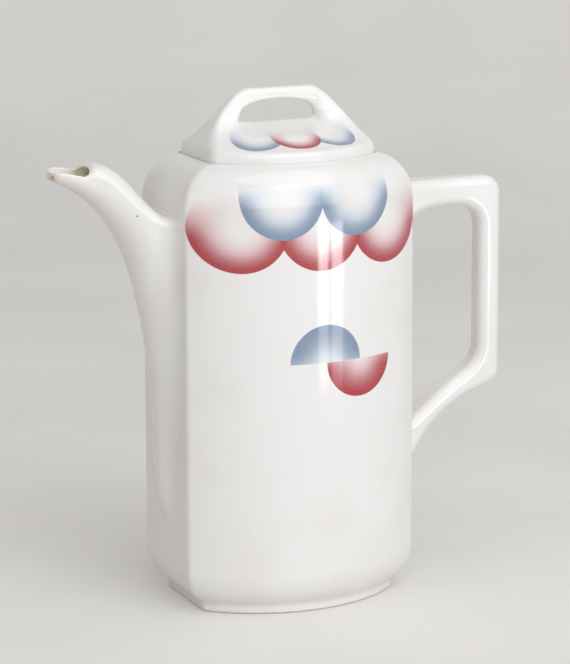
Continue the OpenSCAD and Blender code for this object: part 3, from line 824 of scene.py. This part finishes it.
def spout_form(x, y, z, sunk=True):
    """The tube flows into the side panel with a wide flare, which sinks into the wall where it ends."""
    keel = side_distance(x, z, keel_line)
    ridge = side_distance(x, z, ridge_line)
    tube = spout_tube(x, y, z, keel, ridge)
    skin = plan_field(x, y, 1.0, 1.2) - hidden_seam
    reach = table(z, [(34, 5.0), (60, 9.0), (86, 10.5), (109, 11.6), (130, 11.6), (150, 9.8), (166, 8.6),
                      (176, 7.0)])
    spread = np.maximum(np.maximum(tube - reach, -ridge - 3.6), np.maximum(39.5 - z, np.abs(y) - 21.6))
    if sunk:
        skin = skin + table(spread, [(-0.8, 0.0), (0.4, 0.03), (2.2, 0.35), (3.6, 0.7)])
    form = soft_join(tube, skin, reach)
    form = soft_meet(form, soft_join(skin, -ridge - 1.2, 3.4), 2.6)
    lip = table(-x, [(86, 1.8), (91, 1.8), (94, 1.1)])
    form = soft_meet(form, -side_distance(x, z - mouth_tilt * y, mouth_line), lip)
    clay = table(-x, [(66, spout_wall), (80, 3.6), (86, 3.2), (90, 1.6), (100, 1.3)])
    bore = soft_meet(tube + clay, bore_bottom - z, 6.0)
    form = soft_meet(form, -bore, 0.9)
    if sunk:
        for limit in (-skin - 1.4, spread - 3.2, x + 51.0):
            form = np.maximum(form, limit)
    return form


skin_step = 0.62
spout = carve("spout_body", spout_form, (-107.0, -26.0, 35.0), (-50.4, 26.0, 200.2), skin_step,
              worn_spout_glaze_with_painted_shade, shade=lambda x, y, z: spout_form(x, y, z, sunk=False))


# ---------------------------------------------------------------------------
# Handle
# ---------------------------------------------------------------------------
def through(points, count=5):
    """A smooth line through points, spaced by their distances."""
    points = np.array(points, float)
    along = np.concatenate([[0], np.cumsum(np.hypot(*np.diff(points, axis=0).T))])
    t = np.linspace(0, along[-1], count * len(points))
    return np.stack([table(t, list(zip(along, points[:, k]))) for k in (0, 1)], 1)


def arc(centre, radius, start, stop, count=9):
    """Points on an arc between two angles in degrees."""
    a = np.radians(np.linspace(start, stop, count))
    return np.stack([centre[0] + radius * np.cos(a), centre[1] + radius * np.sin(a)], 1)


# the handle's outline from its upper root down, and its gap's from the lower root up, in X and Z
handle_outside = np.concatenate([
    [(46.0, 179.9)], arc((99.3, 171.7), 8.0, 90, 0), [(107.3, 130.0)],
    through([(107.3, 95.0), (107.2, 90.2), (106.3, 86.9), (104.0, 84.9), (98.2, 82.4), (92.1, 80.3),
             (86.0, 77.4), (79.8, 73.4), (74.4, 68.9), (69.1, 63.2), (65.2, 57.5), (60.4, 50.6), (54.5, 42.8),
             (48.0, 34.2)])])
handle_inside = np.concatenate([
    through([(48.0, 63.4), (56.0, 68.4), (62.0, 72.2), (67.0, 75.7), (71.8, 79.3), (76.7, 83.0), (81.6, 86.4),
             (87.0, 89.8), (92.0, 93.2), (95.3, 97.4), (96.5, 101.5), (96.7, 107.0)]),
    arc((86.7, 156.7), 10.0, 0, 90),
    bezier([[(86.0, 166.7), (70.0, 167.4), (60.0, 166.0), (55.0, 152.0)]], 14), [(50.0, 132.0)]])


def handle_form(x, y, z, cut_off=True):
    """A bar between two lines with rounded edges, filleted to the side panel and cut off just inside it."""
    outer = side_distance(x, z, handle_outside)
    inner = side_distance(x, z, handle_inside)
    near = np.clip(1 - (x - half_length) / 40, 0.0, 1.0)
    half = handle_half + (handle_root_half - handle_half) * near ** 2
    across = np.abs(y) - (half - handle_corner)
    along = handle_corner - soft_join(outer, inner, 1.2)
    past = np.hypot(np.maximum(across, 0.0), np.maximum(along, 0.0))
    bar = np.minimum(np.maximum(across, along), 0.0) + past - handle_corner
    panel_x = half_length * shoulder_share(z)
    form = soft_join(bar, x - panel_x - hidden_seam, handle_fillet)
    if cut_off:
        for limit in (bar - 5.5, panel_x - 0.6 - x, np.abs(y) - 22.0):
            form = np.maximum(form, limit)
    return form


handle = carve("handle_bar", handle_form, (50.0, -16.0, 34.0), (108.0, 16.0, 188.5), skin_step, white_glaze,
               shade=lambda x, y, z: handle_form(x, y, z, cut_off=False))


# ---------------------------------------------------------------------------
# Lid
# ---------------------------------------------------------------------------
def tent(x, y, z):
    """The lid's leaning sides: slanting ends, and a front and back that sweep up into an upright fin."""
    end_slope = 0.775
    # by height: half the length, and half the depth at the ends and in the middle
    length = table(z, [(193, 45.0), (198, 41.1), (202.3, 37.8), (205, 35.8), (208.5, 33.3), (211, 31.4),
                       (214, 29.0), (217, 26.3), (220, 23.4), (222, 21.4), (226, 17.6)])
    panel = table(z, [(194, 18.9), (198, 18.4), (201.5, 16.6), (203.5, 14.0), (206, 10.8), (208, 8.7),
                      (210, 7.0), (212.5, 5.4), (215, 4.3), (218, 3.5), (221, 3.0), (226, 2.6)])
    middle = table(z, [(194, 58.0), (198, 42.5), (200.5, 34.4), (203, 26.6), (205, 20.6), (207, 14.8),
                       (208.5, 11.2), (210, 8.4), (212, 6.1), (214, 4.9), (217, 4.0), (221, 3.4), (226, 3.0)])
    bow = np.maximum(middle - panel, 0.25)
    # the flatter the slope, the less a step sideways counts as distance
    rise = table(z, [(194, 0.25), (200.5, 0.29), (205, 0.33), (207, 0.38), (208.5, 0.48), (210, 0.62),
                     (212, 0.82), (214, 0.93), (217, 1.0)])
    return (np.abs(x) - length) * end_slope, bowed_sides(x, y, length, panel, bow) * rise


def slot_outline(angle):
    """A long arch over a flatter, squarer lower edge. The end towards the spout is a little longer."""
    along, up = math.cos(angle), math.sin(angle)
    power = 0.88 if up > 0 else 0.5
    reach = 17.3 if along > 0 else 18.5
    height = 7.1 if up > 0 else 2.6
    return (math.copysign(abs(along) ** power, along) * reach - 0.8,
            slot_bottom + 2.4 + math.copysign(abs(up) ** power, up) * height)


slot_edge = np.array([slot_outline(a) for a in np.radians(np.linspace(-90, 270, 97))])


def lid_form(x, y, z):
    """The tent over an upright rim, with the slot through its fin, hollow underneath."""
    form = soft_meet(*tent(x, y, z), 2.0)
    form = soft_meet(form, z - lid_top, table(np.abs(x), [(0, 2.6), (14, 2.6), (20, 5.0)]))
    form = soft_meet(form, plan_field(x, y, rim_share, 2.6), 1.8)
    form = soft_meet(form, lid_base - z, 1.0)
    # the slot's edge is crisp above and melts into the slopes below
    melt = table(z, [(slot_bottom - 1.0, 7.0), (slot_bottom + 1.5, 4.0), (slot_bottom + 4.0, 1.6)])
    melt = melt + table(x, [(9.0, 0.0), (17.0, 4.0)])
    form = soft_meet(form, -side_distance(x, z, slot_edge, 0.0), melt)
    hollow = soft_meet(soft_meet(*tent(x, y, z + lid_clay), 3.0), z - hollow_top, 3.0)
    hollow = soft_meet(hollow, plan_field(x, y, hollow_share, 2.0), 2.0)
    return soft_meet(form, -hollow, 1.2)


lid_step = 0.55
lid = carve("lid_tent", lid_form, (-39.6, -35.0, 193.0), (39.6, 35.0, 225.6), lid_step, painted_lid_glaze)


# ---------------------------------------------------------------------------
# What rides on what
# ---------------------------------------------------------------------------
for piece, body, nodes in (
        (pot_wall, "pot", ["pot_body"]), (foot, "pot", ["foot_ring"]), (spout, "pot", ["spout"]),
        (handle, "pot", ["handle"]), (lid, "lid", ["lid_cap", "lid_grip"]), (collar, "lid", ["lid_collar"])):
    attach(piece, body)
    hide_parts(*nodes)


# ---------------------------------------------------------------------------
# Studio: floor, backdrop, lamps and camera
# ---------------------------------------------------------------------------
camera_azimuth = math.radians(-23.84)


def studio():
    """A pale paper floor and backdrop, an even surround, soft lamps, and two panes that show in the glaze."""
    paper = bpy.data.materials.new("pale_paper")
    paper.use_nodes = True
    t = Tree(paper.node_tree)
    shader = paper.node_tree.nodes["Principled BSDF"]
    place = paper.node_tree.nodes.new("ShaderNodeTexCoord").outputs["Object"]
    tone = t.blend(t.ramp(t.noise(place, 6.0, 3.0), 0.3, 0.7), srgb(212, 210, 207), srgb(219, 217, 214))
    t.plug(tone, shader.inputs["Base Color"])
    shader.inputs["Roughness"].default_value = 0.85
    shader.inputs["Specular IOR Level"].default_value = 0.1
    t.plug((0.86, 0.85, 0.84, 1.0), shader.inputs["Emission Color"])
    t.plug(t.times(t.seen(), 0.20), shader.inputs["Emission Strength"])
    mesh = bpy.data.meshes.new("floor")
    # a floor that turns up into a backdrop behind the pot
    back, bend = 0.9, 0.5
    curve = [(back + bend * math.sin(a), bend - bend * math.cos(a)) for a in np.radians(np.arange(9, 91, 9))]
    rows = [(-2.5, 0.0), (back, 0.0)] + curve + [(back + bend, 3.0)]
    turn = Matrix.Rotation(camera_azimuth, 3, "Z")
    points = [turn @ Vector((x, y, z)) for y, z in rows for x in (-3.5, 3.5)]
    mesh.from_pydata([tuple(p) for p in points], [],
                     [(2 * i, 2 * i + 1, 2 * i + 3, 2 * i + 2) for i in range(len(rows) - 1)])
    mesh.shade_smooth()
    mesh.materials.append(paper)
    show("floor", mesh)

    world = bpy.data.worlds.new("studio")
    bpy.context.scene.world = world
    world.use_nodes = True
    t = Tree(world.node_tree)
    background = world.node_tree.nodes["Background"]
    t.plug(t.blend(t.seen(), (0.43, 0.425, 0.42, 1.0), (0.62, 0.62, 0.62, 1.0)), background.inputs["Color"])
    background.inputs["Strength"].default_value = 1.0

    def lamp(name, place, aim, size, power, color):
        """A rectangular area lamp that points from its place at its aim."""
        data = bpy.data.lights.new(name, "AREA")
        data.shape = "RECTANGLE"
        data.size, data.size_y = size
        data.energy = power
        data.color = color
        light = show(name, data)
        place, aim = Vector(place), Vector(aim)
        turned = (aim - place).to_track_quat("-Z", "Y").to_matrix().to_4x4()
        light.matrix_world = Matrix.Translation(place) @ turned
        return light

    def pane(name, angle, width, low, high, power):
        """An upright lamp before the pot, at an angle from straight ahead, that only shows as a gleam."""
        a = math.radians(angle)
        place = Vector((math.sin(a) * pane_distance, -math.cos(a) * pane_distance, (low + high) / 2))
        light = lamp(name, place, (0, 0, place.z), (width, high - low), power, (1.0, 1.0, 1.0))
        light.visible_diffuse = False

    pane_distance = 0.46
    pane_bottom, pane_sill, pane_top = 0.004, 0.046, 0.098
    pane("window_left_pane", 22.5, 0.056, pane_sill, pane_top, 0.085)
    pane("window_right_pane", 32.8, 0.064, pane_sill, pane_top, 0.095)
    pane("left_pane_foot", 22.5, 0.056, pane_bottom, pane_sill, 0.020)
    pane("right_pane_foot", 32.8, 0.064, pane_bottom, pane_sill, 0.022)
    middle = (0, 0, 0.1)
    lamp("key_softbox", (0.12, -2.05, 1.3), middle, (3.0, 2.2), 25.5, (0.98, 0.99, 1.0))
    lamp("top_softbox", (0.2, -0.45, 1.3), middle, (1.0, 1.0), 3.0, (1.0, 1.0, 1.0))
    lamp("left_fill", (-1.1, -0.5, 0.5), middle, (0.6, 0.8), 0.4, (1.0, 0.90, 0.78))
    front_fill = lamp("front_fill", (0.42, -1.5, 0.45), middle, (0.8, 0.6), 3.1, (0.97, 0.985, 1.0))
    front_fill.visible_glossy = False


studio()


def shoot_from():
    """The camera: a long lens a little above the pot, turned towards the spout's side."""
    azimuth, rise, roll = camera_azimuth, math.radians(12.23), math.radians(-0.23)
    distance = 1.35339
    back = Vector((math.sin(azimuth) * math.cos(rise), -math.cos(azimuth) * math.cos(rise), math.sin(rise)))
    right = Vector((math.cos(azimuth), math.sin(azimuth), 0.0))
    up = back.cross(right)
    place = right * 0.00295 + Vector((0, 0, 0.11631)) + back * distance
    tilted_right = right * math.cos(roll) + up * math.sin(roll)
    tilted_up = up * math.cos(roll) - right * math.sin(roll)
    camera = show("camera", bpy.data.cameras.new("camera"))
    camera.data.lens = 167.05
    camera.data.sensor_width = 36.0
    camera.data.clip_end = 20.0
    turned = Matrix((tilted_right, tilted_up, back)).transposed().to_4x4()
    camera.matrix_world = Matrix.Translation(place) @ turned
    bpy.context.scene.camera = camera


shoot_from()
bpy.context.scene.view_settings.view_transform = "Standard"
